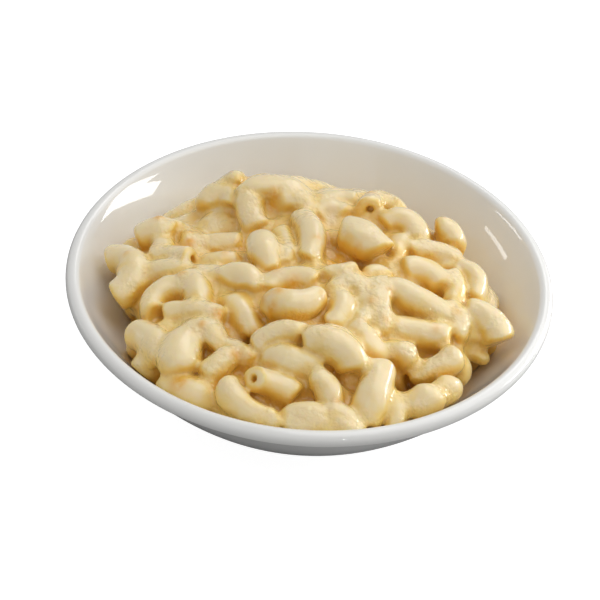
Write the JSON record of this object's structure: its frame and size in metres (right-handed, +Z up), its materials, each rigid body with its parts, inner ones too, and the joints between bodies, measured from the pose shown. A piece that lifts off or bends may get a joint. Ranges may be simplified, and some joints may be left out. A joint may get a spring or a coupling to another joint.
{
  "type": "bowl of macaroni and cheese",
  "caption": "Small round white glazed bowl with a rolled rim and a foot ring, heaped with elbow macaroni in a thick pale cheese sauce.",
  "frame": {"origin": "middle of the foot ring, on the surface that the bowl stands on", "axes": "+Z up along the bowl's axis; -Y towards the side the dish is seen from, +X to that viewer's right"},
  "size_m": [0.133, 0.133, 0.0482],
  "materials": {
    "glaze": "smooth white glaze, high gloss",
    "sauced_pasta": null
  },
  "bodies": {
    "root": {"bowl": "glaze", "macaroni_heap": "sauced_pasta"}
  },
  "joints": []
}
